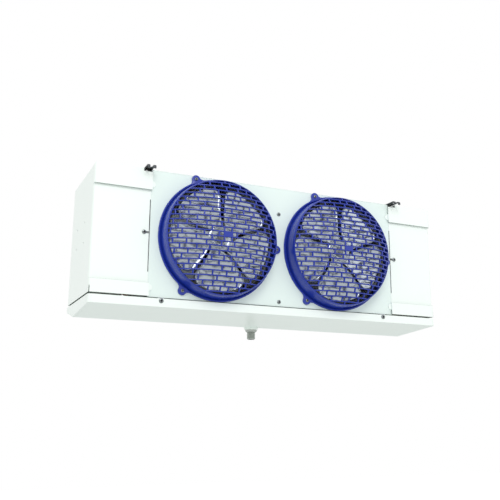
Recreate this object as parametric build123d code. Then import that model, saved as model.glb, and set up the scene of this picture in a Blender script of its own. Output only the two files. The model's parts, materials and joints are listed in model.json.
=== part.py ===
from build123d import *
import os
from math import cos, radians, sin, sqrt

# Low-profile walk-in unit cooler: a ceiling-hung evaporator with two fans.
# Millimetres, +Z up, +X to the right of someone who faces the fans, +Y from the front to the back.
# While it is built, Y = 0 is the front of the end covers and Z = 0 is the bottom of the cabinet.
# save() moves every piece so that the origin is the middle of the four ceiling holes.

# ---------------------------------------------------------------- driving dimensions
# cabinet
cabinet_length = 1130.0
cabinet_height = 366.0
cabinet_depth = 293.0
sheet = 1.5                     # painted aluminium sheet
end_bay = 165.0                 # width of each end compartment
panel_setback = 6.5             # fan panel behind the raised bands of the end covers
return_flange = 22.0            # folded edges of the fan panel and of the end plates
panel_bend_radius = 2.5

# clearances
fit_gap = 0.3                   # between bodies that move past each other, and loose laps
running_gap = 0.05              # radial, for pins that turn in holes
seam = 3.0                      # open slit between an end cover and the fan panel
pan_gap = 5.0                   # between the covers and the drain pan

# end covers
top_band = 62.3                 # height of the raised band at the top
bottom_band = 39.3
cover_lift = 2.0                # bottom edge above the cabinet's bottom
cover_side_radius = 8.0
slit_low = 70.0                 # the open slit starts at this height
slit_below_top = 89.0           # and ends this far below the cabinet's top
hanger_notch_width = 27.0
hanger_notch_height = 9.0
cover_rear_flange = 60.0
cover_rear_sill = 130.0         # the back is closed below this height, and open for pipes above it
tongue_height = 20.0            # rounded tongues that lap over the fan panel
top_tongue_below_top = 44.0     # from the cabinet's top to the tongue's middle
bottom_tongue_rise = 26.5
pilot_hole = 6.0
pilot_rows = 59.0
pilot_columns = 100.0
pilot_middle_depth = 154.0
pilot_above_middle = 3.0

# fans and their guards
fan_offset = 197.7              # each side of the middle
fan_below_middle = 2.7          # the fans sit this far below the cabinet's middle
fan_diameter = 305.0
fan_blades = 5
fan_plane = 21.5                # blade disc ahead of the fan panel
tip_gap = 4.0
blade_sheet = 1.6
blade_disc_radius = 38.0        # flat middle of the pressing
blade_slit = 7.5                # gap between neighbouring blades
blade_twist = 3.0               # the edges of a blade stand this far off the disc at the tip
blade_hollow = 5.0              # and its middle is pressed back this far
hub_radius = 14.0
hub_length = 24.0
shaft_radius = 4.0
orifice_nose = 28.5             # rolled front edge of the orifice ring, ahead of the panel
orifice_roll = 4.0              # thickness of the rolled edge
orifice_foot_radius = 170.0

guard_radius = 181.0
guard_lip = 3.0
guard_lip_height = 5.5
guard_flange = 3.0
guard_wall_foot = 174.0
guard_wall_top = 168.0
guard_wall_height = 47.0
guard_wall = 2.5
guard_crown = 84.0
guard_dome_power = 3.5
rib_pitch = 13.8
rib_height = 3.6
rib_depth = 5.0
web_width = 4.2
ear_angles = (112.5, 236.0, 357.0)
ear_radius = 11.0
ear_foot = 26.0                 # half the width at which an ear's flanks leave the rim
ear_screw_circle = 189.0
guard_screw_radius = 2.4
guard_screw_head = 5.0

# motors
motor_radius = 43.0
motor_length = 84.0
motor_front = 30.0              # behind the fan panel's front
motor_strap_width = 60.0
motor_strap = 2.5
strap_foot = 18.0

# coil
coil_depth = 66.0
coil_back = 14.0                # from the coil to the back of the cabinet
coil_margin = 12.0
fin_count = 44
fin_sheet = 1.0
fin_proud = 10.0                # fins stand out of the tube block
block_wall = 2.0
tube_radius = 4.8
tube_rows = 6
header_radius = 8.0
suction_radius = 11.1
liquid_radius = 6.35
stub_length = 24.0
stub_height = 160.0
feeder_radius = 2.4
distributor_below_top = 116.0

# hangers and ceiling holes
hanger_plate = 3.0
hanger_width = 24.0
hanger_leg = 36.0
hanger_reach = 33.0             # ahead of the front of the covers
hanger_curl = 8.0               # outside radius of the curled ends of the fork
rod_hole = 11.0
rod_spacing = 245.0
fork_end = 7.0                  # closed end of the open fork, ahead of the front
hanger_bolt_radius = 3.0
hanger_bolt_places = (60.0, 190.0)

# drain pan
pan_depth = 305.0
pan_front = 23.1                # height of the front flange
pan_valley = 205.0
pan_drop = 15.4                 # valley below the front flange's foot
pan_rear = 13.0                 # height of the rear wall
pan_corner_radius = 8.0
pan_screw_offset = 364.0
pan_screw_drop = 6.4            # below the pan's top edge
pan_screw_radius = 2.4
hinge_offset = 300.0
hinge_knuckle = 20.0
hinge_barrel = 4.0
hinge_pin = 2.5
drain_radius = 13.3             # outside of the male thread
drain_bore = 9.5
drain_length = 36.0
drain_nut_across = 41.0
drain_nut = 9.0

# screws
cover_screw_radius = 2.4
cover_screw_head = 6.2
cover_screw_inset = 18.6        # from the fan panel's end
cover_screw_below_middle = 1.6
panel_screw_rise = 13.5         # lower panel screw above the bottom
panel_screw_below_top = 83.0    # upper panel screw below the top
head_height = 2.6

# ---------------------------------------------------------------- derived places
half_length = cabinet_length / 2
panel_half = half_length - end_bay
panel_front = panel_setback
panel_back = panel_front + sheet
cover_bottom = cover_lift
slit_high = cabinet_height - slit_below_top
fan_height = cabinet_height / 2 - fan_below_middle
cover_screw_x = panel_half + cover_screw_inset
cover_screw_z = cabinet_height / 2 - cover_screw_below_middle
panel_screw_heights = (panel_screw_rise, cabinet_height - panel_screw_below_top)
tongue_heights = (bottom_tongue_rise, cabinet_height - top_tongue_below_top)
pan_top = cover_lift - pan_gap
plate_out = panel_half - 2.0            # outer face of the end plates
plate_in = plate_out - sheet
hanger_in = panel_half + 1.0
rod_x = hanger_in + hanger_width / 2
origin_y = cabinet_depth / 2
origin_z = cabinet_height + hanger_plate
fan_y = panel_front - fan_plane
tip_radius = fan_diameter / 2
orifice_radius = tip_radius + tip_gap
hanger_bolt_z = cabinet_height - hanger_leg / 2
coil_front = cabinet_depth - coil_back - coil_depth
coil_rear = cabinet_depth - coil_back
coil_bottom = coil_margin
coil_top = cabinet_height - coil_margin
coil_half = plate_in - fit_gap
tube_pitch = (coil_top - coil_bottom) / tube_rows
sides = (-1, 1)
side_names = {-1: "left", 1: "right"}


# ---------------------------------------------------------------- small helpers
def slab(x_range, y_range, z_range):
    """A box between three pairs of limits, given in either order."""
    size = [abs(b - a) for a, b in (x_range, y_range, z_range)]
    middle = [(a + b) / 2 for a, b in (x_range, y_range, z_range)]
    return Pos(*middle) * Box(*size)


def rod(radius, start, end):
    """A round bar from one point to another along any direction."""
    start = Vector(*start)
    end = Vector(*end)
    plane = Plane(origin=start, z_dir=end - start)
    return extrude(plane * Circle(radius), amount=(end - start).length)


def ring_about_fan(profile):
    """Turns a closed outline of (radius, depth) points about the axis of a fan at X = 0, Z = 0."""
    outline = Polyline(*[(r, y) for r, y in profile], close=True)
    return revolve(make_face(outline), axis=Axis.Y)


def screw(x, y, z, radius, head, length, rise=head_height):
    """A pan-head screw that goes in along +Y, with the underside of its head at y."""
    shank = rod(radius, (x, y, z), (x, y + length, z))
    flat = rise * 0.4
    crown = rod(head, (x, y, z), (x, y - flat, z))
    crown += Pos(x, y - flat, z) * Rot(90, 0, 0) * Cone(
        head, head * 0.7, rise - flat, align=(Align.CENTER, Align.CENTER, Align.MIN)
    )
    return shank + crown


def save(part, name):
    """Writes one node, moved so that the origin is the middle of the four ceiling holes."""
    placed = part.moved(Location((0, -origin_y, -origin_z)))
    export_step(placed, "parts/" + name + ".step")


def group(pieces):
    """Separate solids that share one node."""
    solids = [solid for piece in pieces for solid in piece.solids()]
    return Compound(solids)


os.makedirs("parts", exist_ok=True)

# ---------------------------------------------------------------- cabinet sheets
top_z = cabinet_height - sheet
top_panel = slab((-plate_out, plate_out), (panel_front, cabinet_depth), (top_z, cabinet_height))
top_panel += slab((-plate_in, plate_in), (cabinet_depth - sheet, cabinet_depth), (top_z - return_flange, top_z))
save(top_panel, "top_panel")

# The fan panel is a tray: a face with folded edges at the top and the bottom.
panel_edge = panel_half + 2.0
fan_panel = slab((-panel_edge, panel_edge), (panel_front, panel_back), (0, top_z))
for low in (0, top_z - sheet):
    flange = slab((-plate_in, plate_in), (panel_front, panel_front + return_flange), (low, low + sheet))
    fan_panel += flange
tray_edges = fan_panel.edges().filter_by(Axis.X).group_by(Axis.Y)[0]
fan_panel = fillet(tray_edges, panel_bend_radius * 0.5)

orifice_outside = orifice_radius + orifice_roll / 2
for side in sides:
    hole_x = side * fan_offset
    fan_panel -= rod(orifice_outside + fit_gap, (hole_x, 0, fan_height), (hole_x, 20, fan_height))
for height in panel_screw_heights:
    fan_panel -= rod(cover_screw_radius, (0, 0, height), (0, 20, height))
save(fan_panel, "fan_panel")

# ---------------------------------------------------------------- end plates, tube sheets of the coil
plate_flange = 26.0
plate_foot = 5.0
slit_relief = 15.0              # the flange is cut away behind the slit and the screw's slot
for side in sides:
    web = slab((side * plate_in, side * plate_out), (panel_back, cabinet_depth), (sheet, top_z - sheet))
    outer_edge = plate_out + plate_flange
    flange_top = cabinet_height - hanger_notch_height
    flange_depth = (panel_back, panel_back + sheet)
    flange = slab((side * plate_in, side * outer_edge), flange_depth, (plate_foot, flange_top))
    shelf_in = plate_in - return_flange * 0.6
    shelf = slab((side * shelf_in, side * plate_out), (40, cabinet_depth - 4), (top_z - sheet, top_z))
    plate = web + flange + shelf
    relief_in = plate_out + sheet
    plate -= slab((side * relief_in, side * (relief_in + slit_relief)), (0, 20), (slit_low, slit_high))
    screw_x = side * cover_screw_x
    plate -= rod(cover_screw_radius, (screw_x, 0, cover_screw_z), (screw_x, 20, cover_screw_z))
    for place in hanger_bolt_places:
        plate -= rod(
            hanger_bolt_radius,
            (side * (plate_in - 1), place, hanger_bolt_z),
            (side * (plate_out + 1), place, hanger_bolt_z),
        )
    save(plate, "end_plate_" + side_names[side])

# ---------------------------------------------------------------- baffle between the two fans
baffle_half = 14.0
baffle = slab((baffle_half - sheet, baffle_half), (panel_back, coil_front - 1), (sheet, top_z - sheet))
baffle += slab((-baffle_half, baffle_half), (panel_back, panel_back + sheet), (sheet, top_z - sheet))
for height in panel_screw_heights:
    baffle -= rod(cover_screw_radius, (0, 0, height), (0, 20, height))
save(baffle, "center_baffle")

# ---------------------------------------------------------------- coil
core_front = coil_front + fin_proud
core_rear = coil_rear - fin_proud
core = slab((-coil_half, coil_half), (core_front, core_rear), (coil_bottom, coil_top))
core -= slab(
    (-coil_half + block_wall, coil_half - block_wall),
    (core_front + block_wall, core_rear - block_wall),
    (coil_bottom + block_wall, coil_top - block_wall),
)
fin_pitch = (2 * coil_half - fin_sheet) / (fin_count - 1)
fins = []
for number in range(fin_count):
    left_face = -coil_half + number * fin_pitch
    across = (left_face, left_face + fin_sheet)
    fins.append(slab(across, (coil_front, core_front), (coil_bottom, coil_top)))
    fins.append(slab(across, (core_rear, coil_rear), (coil_bottom, coil_top)))
coil_fins = core + fins
save(coil_fins, "coil_fins")

# Return bends: every second pair of tubes turns round outside each end plate.
bend_rise = tube_pitch / 2
tube_y = coil_front + 18


def return_bend(side, height):
    """A U of tube outside an end plate, from one tube row to the next one above."""
    start_x = side * plate_out
    turn_x = side * (plate_out + 6)
    low = height - bend_rise
    high = height + bend_rise
    path = Line((start_x, tube_y, low), (turn_x, tube_y, low))
    crest = (turn_x + side * bend_rise, tube_y, height)
    path += ThreePointArc((turn_x, tube_y, low), crest, (turn_x, tube_y, high))
    path += Line((turn_x, tube_y, high), (start_x, tube_y, high))
    section = Plane(origin=(start_x, tube_y, low), z_dir=(side, 0, 0)) * RegularPolygon(tube_radius, 8)
    return sweep(section, path=path)


bends = []
for row in range(1, tube_rows, 2):
    bends.append(return_bend(-1, coil_bottom + tube_pitch * row))
for row in range(2, tube_rows, 2):
    bends.append(return_bend(1, coil_bottom + tube_pitch * row))
save(group(bends), "return_bends")

# ---------------------------------------------------------------- refrigerant pieces in the right compartment
header_x = plate_out + 26
header_y = coil_rear - 22
header_low = coil_bottom + 20
header_high = coil_top - 40
suction_header = rod(header_radius, (header_x, header_y, header_low), (header_x, header_y, header_high))
for row in (0.5, 2.5, 4.5):
    height = coil_bottom + 20 + tube_pitch * (row - 0.2)
    suction_header += rod(tube_radius, (plate_out, header_y, height), (header_x, header_y, height))
save(suction_header, "suction_header")

stub_x = header_x + 42
stub_start = header_y + 12
stub_end = stub_start + stub_length
elbow_radius = suction_radius + 2
elbow_front = header_y - suction_radius
suction_stub = rod(elbow_radius, (stub_x, elbow_front, stub_height), (stub_x, stub_start, stub_height))
suction_stub += rod(suction_radius, (stub_x, stub_start, stub_height), (stub_x, stub_end, stub_height))
bridge_start = (header_x + header_radius - 0.5, header_y, stub_height)
suction_stub += rod(suction_radius * 0.8, bridge_start, (stub_x, header_y, stub_height))
header_low_end = (header_x, header_y, stub_height - 30)
suction_stub -= rod(header_radius, header_low_end, (header_x, header_y, stub_height + 30))
bore_start = (stub_x, stub_start, stub_height)
suction_stub -= rod(suction_radius - 1.2, bore_start, (stub_x, stub_end + 1, stub_height))
save(suction_stub, "suction_stub")

distributor_x = plate_out + 52
distributor_y = 150.0
distributor_z = cabinet_height - distributor_below_top
nose = (distributor_x, distributor_y - 22, distributor_z)
middle = (distributor_x, distributor_y, distributor_z)
distributor = rod(11.0, nose, middle)
distributor += rod(liquid_radius, middle, (distributor_x, distributor_y + 22 + stub_length, distributor_z))
distributor -= rod(
    liquid_radius - 1.0,
    (distributor_x, distributor_y + 22, distributor_z),
    (distributor_x, distributor_y + 80, distributor_z),
)
save(distributor, "distributor")

feeders = []
feeder_y = coil_front + 16
for drop, spread in ((-170.0, -6.0), (-60.0, 0.0), (50.0, 6.0)):
    front_y = distributor_y - 60 + spread
    feeder_x = distributor_x + spread
    feeder_z = distributor_z + drop
    exit_point = (feeder_x, distributor_y - 22, distributor_z)
    bow = Polyline(
        exit_point,
        (feeder_x, front_y, distributor_z),
        (feeder_x, front_y, feeder_z),
        (feeder_x, feeder_y, feeder_z),
        (plate_out, feeder_y, feeder_z),
    )
    start = Plane(origin=exit_point, z_dir=(0, -1, 0)) * RegularPolygon(feeder_radius, 8)
    feeders.append(sweep(start, path=bow, transition=Transition.RIGHT))
save(group(feeders), "feeder_tubes")

# ---------------------------------------------------------------- terminal block in the left compartment
block_x = -plate_out
block_top = cabinet_height - 120
block_low = block_top - 26
terminal_block = slab((block_x, block_x - 12), (60, 150), (block_low, block_top))
for number in range(6):
    wall_y = 61 + number * 17
    terminal_block += slab((block_x - 12, block_x - 22), (wall_y, wall_y + 3), (block_low + 2, block_top - 2))
save(terminal_block, "terminal_block")

# ---------------------------------------------------------------- hangers
hanger_back = cabinet_depth - 8
bolts = []
for side in sides:
    outer = hanger_in + hanger_width
    curl_y = hanger_curl - hanger_reach
    curl_z = origin_z - hanger_curl
    plate = slab((side * hanger_in, side * outer), (curl_y, hanger_back), (cabinet_height, origin_z))
    curl = rod(hanger_curl, (side * hanger_in, curl_y, curl_z), (side * outer, curl_y, curl_z))
    curl -= rod(hanger_curl - hanger_plate, (side * hanger_in, curl_y, curl_z), (side * outer, curl_y, curl_z))
    curl &= slab((side * hanger_in, side * outer), (-hanger_reach - 1, curl_y), (curl_z - 3, origin_z + 1))
    leg_outer = plate_out + hanger_plate
    leg_top = slab((side * plate_out, side * hanger_in), (12, hanger_back), (cabinet_height, origin_z))
    leg_height = (cabinet_height - hanger_leg, cabinet_height)
    leg = slab((side * plate_out, side * leg_outer), (12, hanger_back), leg_height)
    hanger = plate + curl + leg_top + leg
    fork = slab(
        (side * rod_x - rod_hole / 2, side * rod_x + rod_hole / 2),
        (-hanger_reach - 1, -fork_end - rod_hole / 2),
        (cabinet_height - 20, origin_z + 1),
    )
    fork += Pos(side * rod_x, -fork_end - rod_hole / 2, origin_z) * Cylinder(rod_hole / 2, 20)
    hanger -= fork
    for step in (-1, 1):
        place = origin_y + step * rod_spacing / 2
        hanger -= Pos(side * rod_x, place, origin_z) * Cylinder(rod_hole / 2, 20)
    for place in hanger_bolt_places:
        inside = (side * (plate_in - 4), place, hanger_bolt_z)
        outside = (side * leg_outer, place, hanger_bolt_z)
        hanger -= rod(hanger_bolt_radius, inside, outside)
        head = Plane(origin=outside, z_dir=(side, 0, 0)) * RegularPolygon(5.8, 6)
        bolts.append(rod(hanger_bolt_radius, inside, outside) + extrude(head, amount=4))
    save(hanger, "hanger_" + side_names[side])
save(group(bolts), "hanger_bolts")

# ---------------------------------------------------------------- fan side: one set, then a copy for each side
nose_y = panel_front - orifice_nose
orifice_profile = [
    (orifice_foot_radius, panel_front),
    (orifice_foot_radius, panel_front - 1.2),
    (orifice_radius + orifice_roll, panel_front - 1.2),
    (orifice_radius + orifice_roll, nose_y + orifice_roll / 2),
    (orifice_radius + orifice_roll / 2, nose_y),
    (orifice_radius, nose_y + orifice_roll / 2),
    (orifice_radius, panel_front),
]
orifice_ring = ring_about_fan(orifice_profile)

motor_y = panel_front + motor_front
motor_end = motor_y + motor_length
shaft_hole = shaft_radius + running_gap
motor_profile = [
    (shaft_hole, motor_y),
    (12, motor_y),
    (12, motor_y + 5),
    (motor_radius * 0.75, motor_y + 7),
    (motor_radius, motor_y + 16),
    (motor_radius, motor_end),
    (0, motor_end),
    (0, motor_y + 24),
    (shaft_hole, motor_y + 24),
]
motor = ring_about_fan(motor_profile)

# The motor hangs on a strap that is folded round the back of the motor and screwed to the panel.
strap_leg = orifice_outside + 6
strap_back = motor_end + motor_strap
half_strap = motor_strap_width / 2
motor_bracket = slab((-half_strap, half_strap), (motor_end, strap_back), (-strap_leg, strap_leg))
for up in (-1, 1):
    leg_z = (up * strap_leg, up * (strap_leg - motor_strap))
    foot_z = (up * strap_leg, up * (strap_leg + strap_foot - 6))
    motor_bracket += slab((-half_strap, half_strap), (panel_back, strap_back), leg_z)
    motor_bracket += slab((-half_strap, half_strap), (panel_back, panel_back + motor_strap), foot_z)

hub_front = fan_y - hub_length * 0.2
hub_back = hub_front + hub_length
shaft_tip = hub_front - 2.5
hub_profile = [
    (0, shaft_tip),
    (shaft_radius, shaft_tip),
    (shaft_radius, hub_front),
    (hub_radius, hub_front),
    (hub_radius, fan_y - blade_sheet / 2),
    (hub_radius - 4, fan_y - blade_sheet / 2),
    (hub_radius - 4, fan_y + blade_sheet / 2),
    (hub_radius, fan_y + blade_sheet / 2),
    (hub_radius, hub_back),
    (shaft_radius, hub_back),
    (shaft_radius, motor_y + 22),
    (0, motor_y + 22),
]
hub = ring_about_fan(hub_profile)

# ---------------------------------------------------------------- fan blades
# Five wide blades are pressed out of one sheet. Narrow curved slits part them. The edge that
# leads is the one further back, so a fan that turns clockwise, seen from the front, blows forwards.
blade_share = 360 / fan_blades
slit_lean = 16.0                # the slits swing round this far close to the middle
slit_angle = 88.7               # the first slit at the tips
across_steps = 6
blade_radii = (30.0, blade_disc_radius, 46.0, 56.0, 75.0, 105.0, 132.0, 147.0, tip_radius)
corner_cut = {132.0: 1.5, 147.0: 7.0, tip_radius: 16.0}


def blade_point(radius, share, lift):
    """A point of the first blade: share runs from -1 at one edge to 1 at the other."""
    reach = max(0.0, (radius - blade_disc_radius) / (tip_radius - blade_disc_radius))
    half_width = radius * radians(blade_share) / 2 - blade_slit / 2 - corner_cut.get(radius, 0.0)
    lean = slit_lean * (1 - reach) ** 7
    angle = radians(slit_angle - blade_share / 2 - lean) + share * half_width / radius
    swell = sin(radians(90) * reach)
    depth = fan_y - share * blade_twist * swell + blade_hollow * swell * (1 - share * share) + lift
    return Vector(radius * cos(angle), depth, radius * sin(angle))


def sheet_solid(point, rows, columns):
    """A thin solid whose two skins are grids of flat triangles."""
    faces = []

    def skin(lift, flip):
        for first, second in zip(rows, rows[1:]):
            for left, right in zip(columns, columns[1:]):
                corners = [point(first, left, lift), point(second, left, lift)]
                corners += [point(second, right, lift), point(first, right, lift)]
                for picks in ((0, 1, 2), (0, 2, 3)):
                    triangle = [corners[pick] for pick in picks]
                    faces.append(Face(Wire.make_polygon(triangle[::flip], close=True)))

    def edge(path):
        for (row_a, column_a), (row_b, column_b) in zip(path, path[1:]):
            low_a = point(row_a, column_a, -blade_sheet / 2)
            low_b = point(row_b, column_b, -blade_sheet / 2)
            high_a = point(row_a, column_a, blade_sheet / 2)
            high_b = point(row_b, column_b, blade_sheet / 2)
            faces.append(Face(Wire.make_polygon([low_a, low_b, high_b, high_a], close=True)))

    skin(-blade_sheet / 2, 1)
    skin(blade_sheet / 2, -1)
    edge([(rows[0], column) for column in columns])
    edge([(rows[-1], column) for column in columns])
    edge([(row, columns[0]) for row in rows])
    edge([(row, columns[-1]) for row in rows])
    return Solid(Shell(faces))


shares = [-1 + 2 * step / across_steps for step in range(across_steps + 1)]
first_blade = sheet_solid(blade_point, blade_radii, shares)
disc = rod(blade_disc_radius - 1, (0, fan_y - blade_sheet / 2, 0), (0, fan_y + blade_sheet / 2, 0))
blades = disc + [Rot(0, -blade_share * number, 0) * first_blade for number in range(fan_blades)]
blades -= rod(hub_radius - 4, (0, fan_y - 5, 0), (0, fan_y + 5, 0))


# ---------------------------------------------------------------- fan guard
# A moulded guard: a rolled rim, a steep wall, and a flat-topped dome of horizontal ribs.
# Short upright webs join the ribs in a brick pattern that mirrors left to right and top to bottom.
def dome_rise(x, z):
    """How far the dome stands ahead of the panel."""
    fall = (sqrt(x * x + z * z) / guard_wall_top) ** guard_dome_power
    return guard_crown - (guard_crown - guard_wall_height) * fall


guard_profile = [
    (guard_radius, panel_front),
    (guard_radius, panel_front - guard_lip_height),
    (guard_radius - guard_lip, panel_front - guard_lip_height),
    (guard_radius - guard_lip, panel_front - guard_flange),
    (guard_wall_foot + 1.3, panel_front - guard_flange),
    (guard_wall_foot - 3.0, panel_front - guard_wall_height * 0.8),
    (guard_wall_top, panel_front - guard_wall_height),
    (guard_wall_top - guard_wall, panel_front - guard_wall_height),
    (guard_wall_foot - guard_wall + 0.8, panel_front),
]
rim = ring_about_fan(guard_profile)

long_rib = (-1, -0.86, -0.68, -0.42, 0.42, 0.68, 0.86, 1)
short_rib = (-1, -0.75, -0.35, 0.35, 0.75, 1)
rib_rows = 12


def rib_line(height):
    """The front edge of the rib at one height: straight runs between a few points of the dome."""
    reach = sqrt((guard_wall_top - 1) ** 2 - height ** 2)
    fractions = long_rib if reach > guard_wall_top * 0.75 else short_rib
    return [(f * reach, panel_front - dome_rise(f * reach, height)) for f in fractions]


def rib_front(x, height):
    """Where the front edge of that rib lies above one point of its length."""
    line = rib_line(height)
    for (x_a, y_a), (x_b, y_b) in zip(line, line[1:]):
        if x_a <= x <= x_b:
            return y_a + (y_b - y_a) * (x - x_a) / (x_b - x_a)
    return line[0][1]


ribs = []
for number in range(-rib_rows, rib_rows):
    height = (number + 0.5) * rib_pitch
    front_line = rib_line(height)
    back_line = [(x, y + rib_depth) for x, y in reversed(front_line)]
    outline = Polyline(*front_line, *back_line, close=True)
    bar = extrude(make_face(outline), amount=rib_height / 2, both=True)
    ribs.append(Pos(0, 0, height) * bar)

# Webs of each row, from the middle row outwards: distances from the middle of the guard.
web_rows = (
    (27, 71, 131, 160),
    (11.5, 48, 93, 142),
    (20, 64, 119, 154),
    (0, 54, 91, 136),
    (26, 71, 114, 148),
    (10.5, 47.5, 82, 129),
    (25, 68, 109, 141),
    (15, 87, 120),
    (0, 41, 95),
    (26.5, 79),
    (0, 36, 65),
    (12, 47),
    (0,),
)
web_bite = rib_height / 2 - 0.5
web_drop = 0.4


def guard_web(x, row, width=web_width):
    """A short upright between the ribs above and below one row, on the slope of the dome."""
    low = (row - 0.5) * rib_pitch + web_bite
    high = (row + 0.5) * rib_pitch - web_bite
    low_y = rib_front(x, (row - 0.5) * rib_pitch) + web_drop
    if row < rib_rows:
        high_y = rib_front(x, (row + 0.5) * rib_pitch) + web_drop
    else:
        high = sqrt((guard_wall_top - 1) ** 2 - x * x)
        high_y = panel_front - guard_wall_height + web_drop
    web_depth = rib_depth - 2 * web_drop
    points = [(low_y, low), (high_y, high), (high_y + web_depth, high), (low_y + web_depth, low)]
    outline = Plane.YZ * Polyline(*points, close=True)
    return Pos(x, 0, 0) * extrude(make_face(outline), amount=width / 2, both=True)


webs = [guard_web(0, 0, width=28.0)]
for row, places in enumerate(web_rows):
    for place in places:
        for x in {place, -place}:
            web = guard_web(x, row)
            webs.append(web)
            if row:
                webs.append(mirror(web, about=Plane.XY))

ears = []
guard_screw_places = []
for angle in ear_angles:
    ear_x = ear_screw_circle * cos(radians(angle))
    ear_z = ear_screw_circle * sin(radians(angle))
    guard_screw_places.append((ear_x, ear_z))
    flank = [(-ear_foot, guard_wall_foot), (-ear_foot, guard_radius - 3.5)]
    flank += [(-ear_radius - 5.5, guard_radius + 1.0), (-ear_radius + 0.4, ear_screw_circle - 2.5)]
    flank += [(-ear_radius + 0.6, ear_screw_circle + 3.0)]
    flank += [(-x, reach) for x, reach in reversed(flank)]
    foot = make_face(Plane.XZ * Polyline(*flank, close=True))
    foot = Pos(0, panel_front, 0) * extrude(foot, amount=guard_lip_height, dir=(0, -1, 0))
    tip = rod(ear_radius, (ear_x, panel_front, ear_z), (ear_x, panel_front - guard_lip_height, ear_z))
    ears.append(tip + Rot(0, 90 - angle, 0) * foot)
bore = rod(guard_wall_foot + 1, (0, panel_front + 1, 0), (0, panel_front - 20, 0))
ears = [ear - bore for ear in ears]
guard = rim + ears + ribs + webs
for x, z in guard_screw_places:
    guard -= rod(guard_screw_radius, (x, panel_front, z), (x, panel_front - 10, z))

guard_screws = []
for side in sides:
    name = side_names[side]
    centre = Pos(side * fan_offset, 0, fan_height)
    save(centre * orifice_ring, "orifice_ring_" + name)
    save(centre * motor, "fan_motor_" + name)
    save(centre * motor_bracket, "motor_bracket_" + name)
    save(group([centre * blades, centre * hub]), "fan_" + name)
    save(centre * guard, "fan_guard_" + name)
    for x, z in guard_screw_places:
        ear_front = panel_front - guard_lip_height
        fixing = screw(x, ear_front, z, guard_screw_radius, guard_screw_head, guard_lip_height)
        guard_screws.append(centre * fixing)
save(group(guard_screws), "guard_screws")

# ---------------------------------------------------------------- screws of the panel and the covers
panel_screws = [screw(0, panel_front, height, cover_screw_radius, 6.0, 10) for height in panel_screw_heights]
save(group(panel_screws), "panel_screws")
head_y = panel_front - fit_gap - 0.1
cover_screws = []
for side in sides:
    screw_x = side * cover_screw_x
    cover_screws.append(screw(screw_x, head_y, cover_screw_z, cover_screw_radius, cover_screw_head, 12))
save(group(cover_screws), "cover_screws")


# ---------------------------------------------------------------- end covers
def cover_block(inset):
    """The outside of a right-hand cover, or its inside when it is inset by one sheet."""
    recess_low = bottom_band - inset
    recess_high = cabinet_height - top_band + inset
    levels = (cover_bottom + inset, recess_low, recess_high, cabinet_height - inset)
    fronts = (inset, panel_setback - fit_gap + inset, inset)
    blocks = []
    for front, low, high in zip(fronts, levels, levels[1:]):
        block = slab((panel_half + inset, half_length - inset), (front, cabinet_depth - inset), (low, high))
        outer_edges = list(block.edges().filter_by(Axis.Z).group_by(Axis.X)[-1])
        if high == levels[-1]:
            outer_edges += block.edges().filter_by(Axis.Y).group_by(Axis.X)[-1].group_by(Axis.Z)[-1]
        blocks.append(fillet(outer_edges, cover_side_radius - inset))
    return blocks[0] + blocks[1] + blocks[2]


cover = cover_block(0) - cover_block(sheet)
bottom_cut = slab((panel_half + sheet, half_length - sheet), (sheet, cabinet_depth - 12), (0, 20))
rear_cut = slab(
    (panel_half + sheet, half_length - cover_rear_flange),
    (cabinet_depth - 12, cabinet_depth + 1),
    (cover_rear_sill, cabinet_height - 12),
)
inner_cut = slab(
    (panel_half - 1, panel_half + sheet),
    (sheet, cabinet_depth + 1),
    (0, cabinet_height + 1),
)
middle_cut = slab(
    (panel_half - 1, panel_edge + fit_gap),
    (1, cabinet_depth + 1),
    (bottom_band - sheet, cabinet_height - top_band + sheet),
)
hanger_cut = slab(
    (panel_half - 1, panel_half + hanger_notch_width),
    (-1, cabinet_depth + 1),
    (cabinet_height - hanger_notch_height, cabinet_height + 1),
)
slit_cut = slab((panel_half - 1, panel_edge + seam), (1, 20), (slit_low, slit_high))
cover = cover - bottom_cut - rear_cut - inner_cut - middle_cut - hanger_cut - slit_cut

screw_slot = 3.25
cover -= slab((panel_half, cover_screw_x), (1, 20), (cover_screw_z - screw_slot, cover_screw_z + screw_slot))
cover -= rod(screw_slot, (cover_screw_x, 1, cover_screw_z), (cover_screw_x, 20, cover_screw_z))

tongue_back = panel_front - fit_gap
tongue_front = tongue_back - sheet
for height in tongue_heights:
    half_tongue = tongue_height / 2
    tongue = rod(half_tongue, (panel_half, tongue_front, height), (panel_half, tongue_back, height))
    tongue -= slab((panel_half + sheet, panel_half + 20), (0, 20), (height - 20, height + 20))
    cover += tongue
    cover += slab(
        (panel_half, panel_half + sheet),
        (sheet, tongue_back),
        (height - half_tongue, height + half_tongue),
    )

pilots = []
for row in (-1, 1):
    for column in (-1, 1):
        y = pilot_middle_depth + column * pilot_columns / 2
        z = cabinet_height / 2 + pilot_above_middle + row * pilot_rows / 2
        pilots.append(rod(pilot_hole / 2, (half_length - 10, y, z), (half_length + 1, y, z)))
cover -= pilots
save(cover, "end_cover_right")
save(mirror(cover, about=Plane.YZ), "end_cover_left")


# ---------------------------------------------------------------- drain pan
def pan_block(inset):
    """The outside of the pan, or its inside when it is inset by one sheet."""
    floor_front = pan_top - pan_front
    floor_valley = floor_front - pan_drop
    points = [
        (inset, pan_top + 2 * inset),
        (inset, floor_front + inset),
        (pan_valley, floor_valley + inset),
        (pan_depth - inset, pan_top - pan_rear + inset),
        (pan_depth - inset, pan_top + 2 * inset),
    ]
    outline = Plane.YZ * Polyline(*points, close=True)
    block = extrude(make_face(outline), amount=half_length - inset, both=True)
    return fillet(block.edges().filter_by(Axis.Z), pan_corner_radius - inset)


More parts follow.
